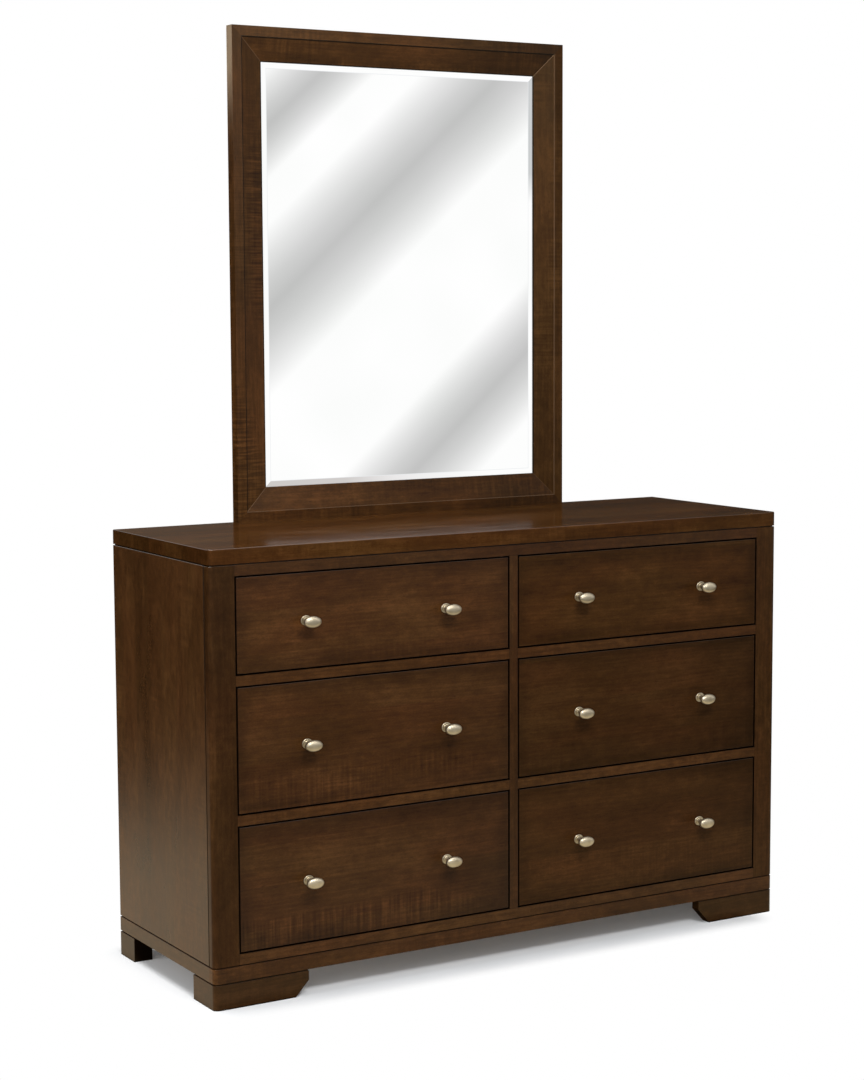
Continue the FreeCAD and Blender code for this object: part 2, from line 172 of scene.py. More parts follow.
lampLooks = {    # place, aim and size in metres, power in watts
    "key": {"place": (-0.75, -2.9, 3.3), "aim": (-0.25, -0.1, 0.7), "size": (1.3, 0.9), "power": 92},
    # cards without gloss only lighten
    "fill": {"place": (-2.9, -3.5, 1.8), "aim": (-0.5, -0.1, 0.9), "size": (3.4, 2.4), "power": 58,
             "gloss": False},
    "low": {"place": (-2.3, 0.1, 0.32), "aim": (-0.75, 0.0, 0.1), "size": (1.0, 0.4), "power": 18,
            "gloss": False},
    "top": {"place": (-1.3, 0.2, 3.9), "aim": (-0.5, 0.1, 0.9), "size": (2.2, 1.4), "power": 72},
    "rim": {"place": (-0.87, 1.12, 2.17), "aim": (-0.45, 0.26, 2.06), "size": (0.25, 0.25), "power": 1.65,
            "colour": "#ffe6c4"},
    # cards that only leave highlights, aimed at the front corner of the top and high on the mirror
    "glint": {"place": (-1.66, 0.25, 3.7), "aim": (-0.74, -0.23, 0.98), "size": (0.4, 0.4), "power": 9,
              "diffuse": False},
    "corner": {"place": (1.12, -4.6, 2.72), "aim": (-0.2, 0.2, 1.9), "size": (0.8, 0.9), "power": 27,
               "diffuse": False},
}


def softLamp(name, look):
    # a softbox: a lit rectangle, turned from its place to what it aims at
    data = bpy.data.lights.new(name, "AREA")
    data.shape = "RECTANGLE"
    data.size, data.size_y = look["size"]
    data.energy = look["power"]
    data.color = hexColour(look.get("colour", "#ffffff"))[:3]
    lamp = bpy.data.objects.new(name, data)
    lamp.location = look["place"]
    way = Vector(look["aim"]) - Vector(look["place"])
    lamp.rotation_euler = way.to_track_quat("-Z", "Y").to_euler()
    lamp.visible_glossy = look.get("gloss", True)
    lamp.visible_diffuse = look.get("diffuse", True)
    bpy.context.scene.collection.objects.link(lamp)


for lampName, look in lampLooks.items():
    softLamp(lampName + "Softbox", look)

# a direction in front of the drawers is given as two slopes, x over y and z over y, where y is negative
worldLook = {
    "ambient": 0.2, "ambientColour": "#eaeef2",
    "nearest": -0.05,    # keeps the slopes finite
    # soft shadows on the cards in front: middle, reach before it and reach after it, along a slanting line
    "bands": ((0.306, 0.056, 0.050), (0.478, 0.080, 0.084), (0.780, 0.071, 0.072)),
    "bandShares": (-1, -0.66, -0.33, 0, 0.33, 0.66, 1), "bandGrey": 195, "bandPower": 1.25,
    "bandAcross": -1.708, "bandRise": 1.947, "bandStart": -0.395,
    # what the flat glass sees, and the pale edge round that
    "openingMiddle": (-0.580, -0.0095), "openingHalf": (0.085, 0.107),
    "edgeColour": "#eceef0", "edgeFrom": 0.042, "edgeTo": 0.054,
    # what the bevels see within bevelReach of the opening: the lower one past lowerFrom, the right one
    # past rightFrom, each with greys along its span
    "bevelReach": 0.12, "lowerFrom": 0.12, "rightFrom": -0.69,
    "lowerSpan": (-0.55, -0.64), "rightSpan": (-0.066, -0.05),
    "lowerStops": [(0.0, "#d0ccca"), (0.33, "#eceaea"), (0.75, "#fafafa"), (1.0, "#ffffff")],
    "rightStops": [(0.0, "#cdcfd0"), (1.0, "#ffffff")],
    # the room behind: greys by height on the left and on the right, and the right is brighter near the middle
    "rearSpan": (-0.25, 1.0),
    "rearLeft": [(0.17, "#181818"), (0.21, "#302e2c"), (0.42, "#302e2c"), (0.46, "#ffffff"),
                 (0.62, "#ffffff"), (0.67, "#302e2c"), (0.78, "#302e2c"), (0.86, "#ffffff")],
    "rearRight": [(0.17, "#2a2724"), (0.3, "#45413c"), (0.78, "#3a3836"), (0.86, "#ffffff")],
    "sidewaysSpan": (-0.1, 0.1), "fadeSpan": (0.40, 0.56), "fadeShares": (2.6, 0.9),
    "behindSpan": (-0.35, 0.0),
}


def cardsInFront(tree, across, rise, look):
    # white cards with diagonal soft shadows, each grey in its middle: the grey fades with the
    # bandPower-th power of the way out to its reach
    start = add(tree, "Math", (across, look["bandAcross"], look["bandStart"]), operation="MULTIPLY_ADD")
    band = add(tree, "Math", (rise, look["bandRise"], start), operation="MULTIPLY_ADD")
    stops = []
    for centre, before, after in look["bands"]:
        for share in look["bandShares"]:
            shade = round(look["bandGrey"] + (255 - look["bandGrey"]) * abs(share) ** look["bandPower"])
            stops.append((centre + share * (before if share < 0 else after), "#" + 3 * ("%02x" % shade)))
    cards = add(tree, "ValToRGB", (band,), stops=stops)
    # how far a direction lies beyond the opening that the flat glass sees
    past = []
    for slope, middle, half in zip((across, rise), look["openingMiddle"], look["openingHalf"]):
        away = add(tree, "Math", (slope, -middle), operation="ADD")
        size = add(tree, "Math", (away,), operation="ABSOLUTE")
        past.append(add(tree, "Math", (size, -half), operation="ADD"))
    beyond = add(tree, "Math", past, operation="MAXIMUM")
    # the lower bevel sees a grey that clears to the right, the right one a grey in its upper part
    lowerPlace = add(tree, "MapRange", (across, *look["lowerSpan"]))
    lowerPaper = add(tree, "ValToRGB", (lowerPlace,), stops=look["lowerStops"])
    rightPlace = add(tree, "MapRange", (rise, *look["rightSpan"]))
    rightPaper = add(tree, "ValToRGB", (rightPlace,), stops=look["rightStops"])
    toRight = add(tree, "Math", (across, look["rightFrom"]), operation="LESS_THAN")
    below = add(tree, "Math", (rise, look["lowerFrom"]), operation="GREATER_THAN")
    close = add(tree, "Math", (beyond, look["bevelReach"]), operation="LESS_THAN")
    paper = hexColour("#ffffff")
    for part, shade in ((toRight, rightPaper), (below, lowerPaper)):
        share = add(tree, "Math", (part, close), operation="MULTIPLY")
        paper = add(tree, "Mix", {0: share, 6: paper, 7: shade}, data_type="RGBA").outputs[2]
    edge = add(tree, "MapRange", (beyond, look["edgeFrom"], look["edgeTo"]))
    border = add(tree, "Mix", {0: edge, 6: hexColour(look["edgeColour"]), 7: paper},
                 data_type="RGBA").outputs[2]
    outside = add(tree, "Math", (beyond, 0.0), operation="GREATER_THAN")
    return add(tree, "Mix", {0: outside, 6: cards, 7: border}, data_type="RGBA").outputs[2]


def roomBehind(tree, parts, look):
    # a lit strip just above the horizon on the left, a dim room on the right, a white card overhead
    height = add(tree, "MapRange", (parts.outputs[2], *look["rearSpan"]))
    left = add(tree, "ValToRGB", (height,), stops=look["rearLeft"])
    right = add(tree, "ValToRGB", (height,), stops=look["rearRight"])
    sideways = add(tree, "MapRange", (parts.outputs[0], *look["sidewaysSpan"]))
    fade = add(tree, "MapRange", (parts.outputs[0], *look["fadeSpan"], *look["fadeShares"]))
    faded = add(tree, "VectorMath", {0: right, "Scale": fade}, operation="SCALE")
    return add(tree, "Mix", {0: sideways, 6: left, 7: faded}, data_type="RGBA").outputs[2]


def studioWorld(look):
    # white behind the object, and for gloss the cards in front and the room behind
    world = bpy.data.worlds.new("studio")
    world.use_nodes = True
    tree = world.node_tree
    tree.nodes.clear()
    parts = add(tree, "SeparateXYZ", (add(tree, "TexCoord").outputs["Generated"],))
    ahead = add(tree, "Math", (parts.outputs[1], look["nearest"]), operation="MINIMUM")
    across = add(tree, "Math", (parts.outputs[0], ahead), operation="DIVIDE")
    rise = add(tree, "Math", (parts.outputs[2], ahead), operation="DIVIDE")
    cards = cardsInFront(tree, across, rise, look)
    rear = roomBehind(tree, parts, look)
    behind = add(tree, "MapRange", (parts.outputs[1], *look["behindSpan"]))
    gloss = add(tree, "Mix", {0: behind, 6: cards, 7: rear}, data_type="RGBA").outputs[2]
    path = add(tree, "LightPath").outputs
    ambient = add(tree, "Background", (hexColour(look["ambientColour"]), look["ambient"]))
    glossy = add(tree, "Background", (gloss, 1.0))
    white = add(tree, "Background", (hexColour("#ffffff"), 1.0))
    seen = add(tree, "Math", (path["Is Camera Ray"], path["Is Transmission Ray"]), operation="MAXIMUM")
    lighting = add(tree, "MixShader", (path["Is Glossy Ray"], ambient, glossy))
    add(tree, "OutputWorld", (add(tree, "MixShader", (seen, lighting, white)),))
    bpy.context.scene.world = world


floorLook = {
    "paint": "#c4c4c6",    # lights the object from below
    "shown": "#ebedef", "glow": 0.06,    # what the camera sees round the object
    "middle": (-0.035, 0.0), "half": (0.685, 0.25),    # the patch that keeps its shadow, in metres
    "fade": 0.081,    # from its edge to plain white
    # what gloss sees: its colour, where it fades from near to far, its strength there, and where it starts
    "sheen": "#fff3d6", "sheenSpan": (0.5, 2.4), "sheenShares": (0.95, 0.02), "besideReach": 0.05,
    "reach": 6, "squares": 24,    # half the floor's side, and squares along it
}


def studioFloor(look):
    # painted floor: round the object it takes the shadow, further out it runs into white
    material, tree = newMaterial("matt white painted studio floor")
    place = add(tree, "TexCoord").outputs["Object"]
    moved = add(tree, "VectorMath", (place, (*look["middle"], 0)), operation="SUBTRACT")
    sized = add(tree, "VectorMath", (moved,), operation="ABSOLUTE")
    past = add(tree, "VectorMath", (sized, (*look["half"], 0)), operation="SUBTRACT")
    out = add(tree, "VectorMath", (past, (0, 0, 0)), operation="MAXIMUM")
    away = add(tree, "VectorMath", (out,), operation="LENGTH").outputs["Value"]
    far = add(tree, "MapRange", (away, 0.0, look["fade"]), interpolation_type="SMOOTHSTEP")
    paint = add(tree, "BsdfDiffuse", (hexColour(look["paint"]),))
    lit = add(tree, "BsdfDiffuse", (hexColour(look["shown"]),))
    glow = add(tree, "Emission", (hexColour("#ffffff"), look["glow"]))
    white = add(tree, "Emission", (hexColour("#ffffff"), 1.0))
    shown = add(tree, "MixShader", (far, add(tree, "AddShader", (lit, glow)), white))
    # gloss sees a glow on the floor near the object and the dark room past its end
    paper = add(tree, "MapRange", (away, *look["sheenSpan"], *look["sheenShares"]),
                interpolation_type="SMOOTHSTEP")
    beside = add(tree, "MapRange", (away, 0.0, look["besideReach"]), interpolation_type="SMOOTHSTEP")
    strength = add(tree, "Math", (paper, beside), operation="MULTIPLY")
    sheen = add(tree, "Emission", (hexColour(look["sheen"]), strength))
    path = add(tree, "LightPath").outputs
    other = add(tree, "MixShader", (path["Is Glossy Ray"], paint, sheen))
    # the camera and the clear mirror see the white floor
    direct = add(tree, "Math", (path["Is Camera Ray"], path["Is Singular Ray"]), operation="MAXIMUM")
    add(tree, "OutputMaterial", (add(tree, "MixShader", (direct, other, shown)),))
    # a flat grid, as wide as it is deep
    line = np.linspace(-look["reach"], look["reach"], look["squares"] + 1)
    x, y = np.meshgrid(line, line)
    surface = gridSurface(np.stack([x, y, np.zeros_like(x)], axis=-1), closed=False, poles=False)
    makePiece("studio_floor", [surface], material, smooth=False)


studioWorld(worldLook)
studioFloor(floorLook)
print("studio lit")


# stained maple

woodLook = {    # a board's look where its own doesn't say otherwise
    "centre": (0, 0, 0), "staveStart": 0.0, "staveShift": (0.9, 0.9, 0.9), "seedStep": 1.37,
    # how much each pattern weighs in the tone
    "blotch": 0.9, "staveTone": 0.25, "fibre": 0.7, "wideFibre": 0.4, "mottle": 1.0, "speck": 0.55,
    "ring": 0.04, "curl": 0.5,
    # metres between growth lines, and radians that slow noise bends them
    "ringSpacing": 11 * mm, "ringBend": 46.0,
    # curl: where its mask starts and is full, ripples per metre along and across (7 by 100 mm), and its
    # fade in height
    "curlFrom": 0.44, "curlFull": 0.62, "curlPitch": 150.0, "curlWide": 10.0, "curlFade": 60 * mm,
    "hueSpread": 0.3, "hueSpan": (0.35, 0.65),
    # mineral flecks: share of the cells that hold one, cells per metre, its size in a cell and its depth
    "flecks": 0.02, "fleckCells": (60.0, 260.0, 260.0), "fleckSpan": (0.45, 0.15), "fleckShare": 0.5,
    "fleckColour": "#1c0f06",
    # darker from the edges of a front inwards and how far its line wanders; what counts as an end face
    "edgeReach": 40 * mm, "edgeTone": 0.7, "edgeWander": 30 * mm, "endSpan": (0.3, 0.95),
    # slabs of painted shade, nearly black, in gaps, grooves and recesses where shade falls: (axis, from, to)
    "paintedShadeSlabs": (), "paintedShadeShare": 0.92, "paintedShadeColour": "#080402",
    # pale lines: along joints, and painted highlights on arrises that catch the light: (direction, place,
    # half width, share, limit across)
    "paleLines": (), "paleLineCore": 0.4, "paleLineColour": "#8f7358",
    # lacquer: the coat shows on edges whose upward part lies in these spans
    "polish": 0.0, "polishFrom": (0.3, 0.5), "polishTo": (0.985, 0.95), "coatRoughness": 0.1, "coatIor": 1.5,
    "ior": 1.22, "sheen": "#ffffff", "roughSpan": (0.3, 0.7), "roughSwing": 0.04,
    "bump": 0.06, "bumpHeight": 0.6 * mm, "bumpCurl": 0.8,
}

woodNoise = {    # patches per metre along and across the grain, detail, roughness, shift
    "blotch": (5.0, 14.0, 3.0, 0.6, 0.0),    # stain taken up unevenly, 200 by 71 mm
    "hue": (3.0, 9.0, 1.0, 0.5, 7.0),    # warmer and more olive parts, 333 by 111 mm
    "drift": (1.6, 9.0, 1.5, 0.5, 3.0),    # bends the growth lines, 625 by 111 mm
    "fibre": (14.0, 330.0, 3.0, 0.7, 5.0),    # 71 by 3 mm: real fibres are too fine to show
    "wideFibre": (4.0, 80.0, 2.0, 0.5, 9.0),    # bundles of fibres, 250 by 12.5 mm
    "mottle": (38.0, 70.0, 3.0, 0.65, 15.0),    # 26 by 14 mm
    "speck": (230.0, 420.0, 2.0, 0.6, 21.0),    # pores, 4.3 by 2.4 mm: real ones are too fine to show
    "curlMask": (2.6, 8.0, 1.0, 0.5, 13.0),    # where the grain curls, 385 by 125 mm
}
unbroken = ("blotch", "curlMask", "ripple")    # these run on over the glue lines


def woodPatterns(tree, middle, look):
    # the output of every pattern that makes up the tone of a board
    turn = tuple(math.radians(angle) for angle in look["turn"])
    turned = add(tree, "Mapping", {"Vector": middle, "Rotation": turn})
    across = add(tree, "SeparateXYZ", (turned,)).outputs[look["staveAxis"]]
    # glued boards: each has its own number, which shifts its pattern and its tone
    count = add(tree, "Math", (across, 1 / look["staveWidth"], look["staveStart"]),
                operation="MULTIPLY_ADD")
    board = add(tree, "Math", (count,), operation="FLOOR")
    number = add(tree, "Math", (board, look["seed"]), operation="ADD")
    chance = add(tree, "TexWhiteNoise", {"W": number}, noise_dimensions="1D")
    shift = add(tree, "VectorMath", (chance.outputs["Color"], look["staveShift"], turned),
                operation="MULTIPLY_ADD")
    outputs = {"shift": shift, "staveTone": chance.outputs["Value"]}
    noises = dict(woodNoise, ripple=(look["curlPitch"], look["curlWide"], 1.5, 0.5, 11.0))
    for pattern, (along, over, detail, roughness, offset) in noises.items():
        source = turned if pattern in unbroken else shift
        stretched = add(tree, "VectorMath", (source, (along, over, over)), operation="MULTIPLY")
        outputs[pattern] = add(tree, "TexNoise", {
            "Vector": stretched, "W": look["seed"] * look["seedStep"] + offset, "Scale": 1.0,
            "Detail": detail, "Roughness": roughness}, noise_dimensions="4D").outputs[0]
    # growth lines: sine of the place across the board, bent by slow noise
    bend = add(tree, "Math", (outputs["drift"], look["ringBend"]), operation="MULTIPLY")
    ringAcross = add(tree, "SeparateXYZ", (shift,)).outputs[look["staveAxis"]]
    phase = add(tree, "Math", (ringAcross, 2 * math.pi / look["ringSpacing"], bend),
                operation="MULTIPLY_ADD")
    outputs["ring"] = add(tree, "Math", (phase,), operation="SINE")
    # curl: short ripples across the grain where the mask is high
    mask = add(tree, "MapRange", (outputs["curlMask"], look["curlFrom"], look["curlFull"]),
               interpolation_type="SMOOTHSTEP")
    if "curlTop" in look:
        # on these boards the curl lies in the lower part
        height = add(tree, "SeparateXYZ", (middle,)).outputs[2]
        below = add(tree, "MapRange", (height, look["curlTop"], look["curlTop"] - look["curlFade"]))
        mask = add(tree, "Math", (mask, below), operation="MULTIPLY")
    ripple = add(tree, "Math", (outputs["ripple"], 0.5), operation="SUBTRACT")
    outputs["curl"] = add(tree, "Math", (ripple, mask), operation="MULTIPLY")
    return outputs


def woodColour(tree, outputs, look):
    # one tone from all patterns, seen through a warm and an olive ramp that slow noise mixes
    tone = 0.5
    for pattern in ("blotch", "staveTone", "fibre", "wideFibre", "mottle", "speck", "ring", "curl"):
        middleValue = 0.0 if pattern in ("ring", "curl") else 0.5
        swing = add(tree, "Math", (outputs[pattern], middleValue), operation="SUBTRACT")
        tone = add(tree, "Math", (swing, look[pattern], tone), operation="MULTIPLY_ADD")
    warm, olive = (add(tree, "ValToRGB", (tone,), stops=list(zip((0.0, 0.5, 1.0), look[ramp])))
                   for ramp in ("tones", "oliveTones"))
    spread = look["hueSpread"]
    hue = add(tree, "MapRange", (outputs["hue"], *look["hueSpan"], 0.5 - spread, 0.5 + spread),
              interpolation_type="SMOOTHSTEP")
    colour = add(tree, "Mix", {0: hue, 6: warm, 7: olive}, data_type="RGBA").outputs[2]
    # mineral flecks: small dark dashes along the grain, in cells of 17 by 4 mm
    cells = add(tree, "VectorMath", (outputs["shift"], look["fleckCells"]), operation="MULTIPLY")
    fleck = add(tree, "TexVoronoi", {"Vector": cells, "Scale": 1.0})
    cellChance = add(tree, "SeparateColor", (fleck.outputs["Color"],))
    rare = add(tree, "Math", (cellChance, look["flecks"]), operation="LESS_THAN")
    dash = add(tree, "MapRange", (fleck.outputs["Distance"], *look["fleckSpan"], 0.0, look["fleckShare"]))
    spot = add(tree, "Math", (rare, dash), operation="MULTIPLY")
    return add(tree, "Mix", {0: spot, 6: colour, 7: hexColour(look["fleckColour"])},
               data_type="RGBA").outputs[2]


def woodWearAndShade(tree, colour, middle, normal, blotch, look):
    # where the stain lies darker, and where shade and highlights are painted in
    local = add(tree, "SeparateXYZ", (middle,)).outputs
    if "halfSize" in look:
        # darker towards the edges of a front, along a wandering line
        inside = []
        for axis, half in zip((0, 2), look["halfSize"]):
            size = add(tree, "Math", (local[axis],), operation="ABSOLUTE")
            inside.append(add(tree, "Math", (half, size), operation="SUBTRACT"))
        nearest = add(tree, "Math", inside, operation="MINIMUM")
        wander = add(tree, "Math", (blotch, look["edgeWander"], -look["edgeWander"] / 2),
                     operation="MULTIPLY_ADD")
        reach = add(tree, "Math", (nearest, wander), operation="ADD")
        shade = add(tree, "MapRange", (reach, 0.0, look["edgeReach"], look["edgeTone"], 1.0),
                    interpolation_type="SMOOTHSTEP")
        colour = add(tree, "VectorMath", {0: colour, "Scale": shade}, operation="SCALE").outputs[0]
    if "shadedEnd" in look:
        # painted shade: darker towards one end of the board, where less light falls: (axis, from, to, tone at
        # the end)
        axis, start, finish, endTone = look["shadedEnd"]
        shade = add(tree, "MapRange", (local[axis], start, finish, 1.0, endTone),
                    interpolation_type="SMOOTHSTEP")
        colour = add(tree, "VectorMath", {0: colour, "Scale": shade}, operation="SCALE").outputs[0]
    if look["paintedShadeSlabs"]:
        # painted shade: recesses and the edges at a gap are painted nearly black
        shadeMask = 0.0
        for axis, start, finish in look["paintedShadeSlabs"]:
            inSlab = add(tree, "Math", (local[axis], (start + finish) / 2, (finish - start) / 2),
                         operation="COMPARE")
            shadeMask = add(tree, "Math", (shadeMask, inSlab), operation="MAXIMUM")
        share = add(tree, "Math", (shadeMask, look["paintedShadeShare"]), operation="MULTIPLY")
        colour = add(tree, "Mix", {0: share, 6: colour, 7: hexColour(look["paintedShadeColour"])},
                     data_type="RGBA").outputs[2]
    # pale lines along the frame's mitres, and painted highlights on its steps
    for direction, place, half, share, limit in look["paleLines"]:
        along = add(tree, "VectorMath", (middle, direction), operation="DOT_PRODUCT").outputs["Value"]
        past = add(tree, "Math", (along, -place), operation="ADD")
        away = add(tree, "Math", (past,), operation="ABSOLUTE")
        onLine = add(tree, "MapRange", (away, half, half * look["paleLineCore"], 0.0, share))
        size = add(tree, "Math", (local[0],), operation="ABSOLUTE")
        within = add(tree, "Math", (size, limit), operation="LESS_THAN")
        onLine = add(tree, "Math", (onLine, within), operation="MULTIPLY")
        colour = add(tree, "Mix", {0: onLine, 6: colour, 7: hexColour(look["paleLineColour"])},
                     data_type="RGBA").outputs[2]
    if "endTone" in look:
        # end grain drinks more stain
        endFace = add(tree, "Math", (normal[look["endAxis"]],), operation="ABSOLUTE")
        shade = add(tree, "MapRange", (endFace, *look["endSpan"], 1.0, look["endTone"]),
                    interpolation_type="SMOOTHSTEP")
        colour = add(tree, "VectorMath", {0: colour, "Scale": shade}, operation="SCALE").outputs[0]
    return colour


def stainedMaple(name, ownLook):
    # maple boards under a walnut stain and satin lacquer: blotchy brown, fine streaks, soft gloss
    look = dict(woodLook, **ownLook)
    material, tree = newMaterial(name)
    coordinates = add(tree, "TexCoord").outputs
    middle = add(tree, "Mapping", {"Vector": coordinates["Object"],
                                   "Location": tuple(-c for c in look["centre"])})
    normal = add(tree, "SeparateXYZ", (coordinates["Normal"],)).outputs
    outputs = woodPatterns(tree, middle, look)
    colour = woodWearAndShade(tree, woodColour(tree, outputs, look), middle, normal, outputs["blotch"], look)
    coat = 0.0
    if look["polish"]:
        # rounded edges that look upwards are rubbed out to a gloss
        upper = add(tree, "MapRange", (normal[2], *look["polishFrom"]), interpolation_type="SMOOTHSTEP")
        lower = add(tree, "MapRange", (normal[2], *look["polishTo"], 0.0, look["polish"]),
                    interpolation_type="SMOOTHSTEP")
        coat = add(tree, "Math", (upper, lower), operation="MULTIPLY")
    relief = add(tree, "Math", (outputs["curl"], look["bumpCurl"], outputs["fibre"]),
                 operation="MULTIPLY_ADD")
    bump = add(tree, "Bump", {"Height": relief, "Strength": look["bump"], "Distance": look["bumpHeight"]})
    smoothest, roughest = look["roughness"] - look["roughSwing"], look["roughness"] + look["roughSwing"]
    rough = add(tree, "MapRange", (outputs["blotch"], *look["roughSpan"], smoothest, roughest))
    shader = add(tree, "BsdfPrincipled", {
        "Base Color": colour, "Roughness": rough, "IOR": look["ior"], "Normal": bump,
        "Specular Tint": hexColour(look["sheen"]),
        "Coat Weight": coat, "Coat Roughness": look["coatRoughness"], "Coat IOR": look["coatIor"]})
    add(tree, "OutputMaterial", (shader,))
    return material


def deeper(look, share):
    # every tone times the share: a deeper stain, and on the right fronts partly painted shade
    scaled = {}
    for ramp in ("tones", "oliveTones"):
        scaled[ramp] = tuple("#%02x%02x%02x" % tuple(round(int(tone[i:i + 2], 16) * share) for i in (1, 3, 5))
                             for tone in look[ramp])
    return dict(look, **scaled)


# levels and widths of the case and the frame, in metres
caseTop, topReveal = 0.948, 0.0028
caseBottom, footTop, baseReveal = 0.0925, 0.0575, 0.0032
openOuter, openInner = 0.6905, 0.01125
openLevels = (0.116, 0.391, 0.414, 0.689, 0.712, 0.922)
mirrorHalf, mirrorFoot, mirrorHead = 0.45, 0.9805, 2.1105
mirrorBand, mirrorWidth = 0.0236, 0.0785    # from the outside to the step, and to the glass
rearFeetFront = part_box("feet_rear")[0].y

# slabs of painted shade, nearly black, in the reveals, grooves and gaps, under the feet, on the rear feet's
# front face and at the mirror frame's steps and lips; skin is how far they reach past a face, cut keeps them
# off the face above the reveal
skin, cut, lip = 0.6 * mm, 0.2 * mm, 0.4 * mm
behindStile = (1, -0.2187, -0.2147)
underTop = (2, caseTop - topReveal + cut, caseTop + skin)
overBase = (2, caseBottom - baseReveal + cut, caseBottom + skin)
overFoot = (2, footTop - baseReveal + cut, footTop + skin)
underFoot = (2, -skin, 2.2 * mm)
behindFoot = (1, rearFeetFront - skin, rearFeetFront + skin)
railEdges = [(2, z - skin, z + skin) for z in openLevels]
centreEdges = [(0, x - skin, x + skin) for x in (-openInner, openInner)]
edgeLeft, edgeRight = (0, -openOuter - skin, -openOuter + skin), (0, openOuter - skin, openOuter + skin)
glassEdge, glassTop = mirrorHalf - mirrorWidth, mirrorHead - mirrorWidth
stepLeft = (0, -mirrorHalf + mirrorBand - lip, -mirrorHalf + mirrorBand + 2.8 * mm)
stepTop = (2, mirrorHead - mirrorBand - 2.6 * mm, mirrorHead - mirrorBand + lip)
lipLeft, lipRight = (0, -glassEdge - 2.2 * mm, -glassEdge + lip), (0, glassEdge - lip, glassEdge + 2 * mm)
lipTop = (2, glassTop - lip, glassTop + 2 * mm)

# pale lines on the frame: along its mitres, and painted highlights on two of its steps where they catch the
# light
diagonal = math.sqrt(0.5)
slopeOuter = mirrorHalf - mirrorBand
falling, rising = (diagonal, 0, -diagonal), (diagonal, 0, diagonal)
mitreLowLeft = (falling, diagonal * (-mirrorHalf - mirrorFoot), 1.2 * mm, 0.3, slopeOuter)
mitreHighLeft = (rising, diagonal * (-mirrorHalf + mirrorHead), 1.2 * mm, 0.15, slopeOuter)
mitreLowRight = (rising, diagonal * (mirrorHalf + mirrorFoot), 1.2 * mm, 0.1, slopeOuter)
mitreHighRight = (falling, diagonal * (mirrorHalf - mirrorHead), 1.2 * mm, 0.4, slopeOuter)
stepRight = ((1, 0, 0), mirrorHalf - mirrorBand, 1.4 * mm, 0.28, mirrorHalf)
stepLow = ((0, 0, 1), mirrorFoot + mirrorBand, 1.4 * mm, 0.22, slopeOuter)

# turns that bring the grain along the pattern's X
grainX, grainY, grainZ = (0, 0, 0), (0, 0, 90), (0, 90, 0)
walnutStain = {
    "tones": ("#2a1506", "#42260f", "#5d381b"),
    "oliveTones": ("#281707", "#3f270f", "#583b1c"),
    "roughness": 0.32,
}
topLook = dict(walnutStain, turn=grainX, staveAxis=1, staveWidth=0.084, staveStart=0.3, seed=3.0,
               roughness=0.155, ior=1.095, polish=1.0, endAxis=0, endTone=0.6, mottle=0.7, fibre=0.5,
               curl=0.35)
sideLook = dict(deeper(walnutStain, 0.9), turn=grainZ, staveAxis=1, staveWidth=0.071, seed=11.0,
                roughness=0.3, polish=0.55, ior=1.34, sheen="#ffefd8", staveTone=0.18, ring=0.02, fibre=0.4,
                hueSpread=0.2, mottle=0.8, wideFibre=0.3, paintedShadeSlabs=[underTop, behindStile])
stileLook = dict(walnutStain, turn=grainZ, staveAxis=2, staveWidth=0.3, seed=19.0, staveTone=0.2)
railLook = dict(walnutStain, turn=grainX, staveAxis=2, staveWidth=0.298, staveStart=0.5, seed=23.0,
                staveTone=0.2, paintedShadeSlabs=railEdges + [underTop])
baseLook = dict(walnutStain, turn=grainX, staveAxis=2, staveWidth=1.0, staveStart=0.5, seed=29.0,
                paintedShadeSlabs=[overBase])
sideBaseLook = deeper(dict(baseLook, turn=grainY, ior=1.34, sheen="#ffefd8"), 0.88)
footLook = deeper(dict(walnutStain, turn=grainX, staveAxis=2, staveWidth=1.0, staveStart=0.5, seed=31.0,
                       ior=1.29, sheen="#ffe9c8", paintedShadeSlabs=[overFoot, underFoot]), 0.76)
mirrorStileLook = dict(walnutStain, turn=grainZ, staveAxis=2, staveWidth=0.45, seed=37.0, curl=1.3,
                       sheen="#ffeed6")
mirrorRailLook = dict(walnutStain, turn=grainX, staveAxis=2, staveWidth=0.5, staveStart=0.2, seed=41.0,
                      curl=1.3, blotch=1.4, sheen="#ffeed6")
